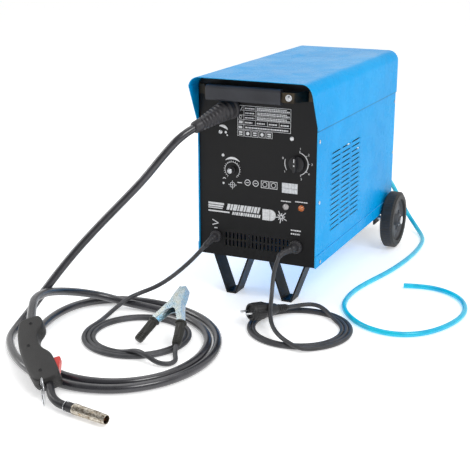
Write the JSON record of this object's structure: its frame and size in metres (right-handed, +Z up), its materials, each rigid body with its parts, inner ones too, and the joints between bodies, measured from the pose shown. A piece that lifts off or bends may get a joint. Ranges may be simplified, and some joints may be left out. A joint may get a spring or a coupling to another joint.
{
  "type": "mig welder",
  "caption": "Box-shaped wire-feed arc welder on front feet and rear wheels, with torch and hose, earth clamp lead, mains lead, gas hose, spool feed and bottle tray.",
  "frame": {"origin": "on the floor under the middle of the machine, measured without its cords", "axes": "+Z up, +Y from the front panel to the rear, +X to the right seen from the front"},
  "size_m": [0.8644, 1.4442, 0.52],
  "materials": {
    "blue_paint": "gloss",
    "black_panel": "satin",
    "plain_steel": "brushed",
    "black_steel": "satin",
    "bright_steel": "plated",
    "grip_plastic": "satin",
    "wheel_rubber": "matte",
    "control_plastic": "matte",
    "lamp_lens": "gloss",
    "outlet_rubber": "matte",
    "core_iron": "laminated",
    "copper": "enamelled",
    "alloy": "satin",
    "fan_plastic": "matte",
    "brass_fitting": "machined",
    "hose_rubber": "satin",
    "torch_plastic": "matte",
    "trigger_plastic": "satin",
    "torch_metal": "satin",
    "nozzle_metal": "nickel plated",
    "zinc_steel": "zinc plated",
    "clamp_grip": "matte",
    "plug_rubber": "matte",
    "gas_tube": "gloss"
  },
  "bodies": {
    "machine": {"base_pan": "blue_paint", "right_side_panel": "blue_paint", "left_side_panel": "blue_paint", "front_panel": "black_panel", "rear_panel": "black_panel", "divider_panel": "plain_steel", "feeder_plate": "plain_steel", "left_front_foot": "black_steel", "right_front_foot": "black_steel", "bottle_tray": "black_steel", "bottle_cradle": "black_steel", "hood_hinges_fixed": "bright_steel", "handle_bracket": "bright_steel", "casing_screws": "bright_steel", "wheel_axle": "bright_steel", "handle_grip": "grip_plastic", "power_switch": "control_plastic", "control_board": "control_plastic", "indicator_lamps": "lamp_lens", "torch_boot": "outlet_rubber", "earth_gland": "outlet_rubber", "mains_gland": "outlet_rubber", "transformer_core": "core_iron", "output_choke": "core_iron", "transformer_windings": "copper", "rectifier": "alloy", "feed_motor": "alloy", "fan_motor": "alloy", "gas_valve": "alloy", "spool_hub": "fan_plastic", "gas_inlet": "brass_fitting", "torch_hose": "hose_rubber", "earth_cable": "hose_rubber", "earth_cable_coil": "hose_rubber", "mains_cable": "hose_rubber", "mains_cable_coil": "hose_rubber", "torch_handle": "torch_plastic", "torch_neck": "torch_metal", "gas_nozzle": "nozzle_metal", "clamp_fixed_half": "zinc_steel", "clamp_spring": "zinc_steel", "clamp_fixed_grip": "clamp_grip", "mains_plug": "plug_rubber", "gas_hose": "gas_tube"},
    "hood": {"top_hood": "blue_paint", "hood_hinges_moving": "bright_steel"},
    "left_wheel_body": {"left_wheel": "wheel_rubber"},
    "right_wheel_body": {"right_wheel": "wheel_rubber"},
    "power_dial": {"power_knob": "control_plastic"},
    "speed_dial": {"speed_knob": "control_plastic"},
    "fan": {"fan_impeller": "fan_plastic"},
    "spool": {"wire_spool": "fan_plastic", "wire_winding": "copper"},
    "drive": {"drive_roll": "plain_steel"},
    "pressure": {"pressure_arm": "plain_steel"},
    "pressure_wheel": {"pressure_roll": "plain_steel"},
    "trigger": {"torch_trigger": "trigger_plastic"},
    "ring": {"hanging_ring": "bright_steel"},
    "clamp_jaw": {"clamp_moving_half": "zinc_steel", "clamp_moving_grip": "clamp_grip"}
  },
  "joints": [
    {"name": "hood_hinge", "type": "hinge", "parent": "machine", "child": "hood", "pos_m": [0, 0.2325, 0.515], "axis": [-1, 0, 0], "range_deg": [0, 75]},
    {"name": "left_wheel_spin", "type": "hinge", "parent": "machine", "child": "left_wheel_body", "pos_m": [-0.167, 0.185, 0.075], "axis": [1, 0, 0], "continuous": true},
    {"name": "right_wheel_spin", "type": "hinge", "parent": "machine", "child": "right_wheel_body", "pos_m": [0.167, 0.185, 0.075], "axis": [1, 0, 0], "continuous": true},
    {"name": "power_dial_turn", "type": "hinge", "parent": "machine", "child": "power_dial", "pos_m": [0.096, -0.357, 0.336], "axis": [0, -1, 0], "range_deg": [-60, 150]},
    {"name": "speed_dial_turn", "type": "hinge", "parent": "machine", "child": "speed_dial", "pos_m": [-0.061, -0.357, 0.307], "axis": [0, -1, 0], "range_deg": [-135, 135]},
    {"name": "fan_spin", "type": "hinge", "parent": "machine", "child": "fan", "pos_m": [0.065, 0.195, 0.3], "axis": [0, 1, 0], "continuous": true},
    {"name": "spool_spin", "type": "hinge", "parent": "machine", "child": "spool", "pos_m": [-0.065, -0.025, 0.364], "axis": [1, 0, 0], "continuous": true},
    {"name": "drive_roll_spin", "type": "hinge", "parent": "machine", "child": "drive", "pos_m": [-0.065, -0.245, 0.434], "axis": [1, 0, 0], "continuous": true},
    {"name": "pressure_arm_lift", "type": "hinge", "parent": "machine", "child": "pressure", "pos_m": [-0.054, -0.28, 0.463], "axis": [1, 0, 0], "range_deg": [0, 30]},
    {"name": "pressure_roll_spin", "type": "hinge", "parent": "pressure", "child": "pressure_wheel", "pos_m": [-0.065, -0.245, 0.4628], "axis": [1, 0, 0], "continuous": true},
    {"name": "trigger_pull", "type": "hinge", "parent": "machine", "child": "trigger", "pos_m": [-0.14957, -0.95014, 0.03485], "axis": [-0.057, -0.3546, 0.9333], "range_deg": [0, 8], "stiffness_Nm_per_rad": 0.05, "springref_deg": -11.46},
    {"name": "ring_swing", "type": "hinge", "parent": "machine", "child": "ring", "pos_m": [-0.15507, -0.98978, 0.02578], "axis": [0, 0, -1], "range_deg": [0, 80]},
    {"name": "clamp_squeeze", "type": "hinge", "parent": "machine", "child": "clamp_jaw", "pos_m": [-0.07182, -0.61567, 0.06681], "axis": [-0.1378, -0.5288, 0.8375], "range_deg": [0, 25], "stiffness_Nm_per_rad": 0.6, "springref_deg": -20.05, "deforming": ["clamp_spring"]}
  ],
  "couplings": [
    {"joint": "drive_roll_spin", "follows": "spool_spin", "ratio": 5.6667},
    {"joint": "pressure_roll_spin", "follows": "spool_spin", "ratio": -6.5385}
  ]
}
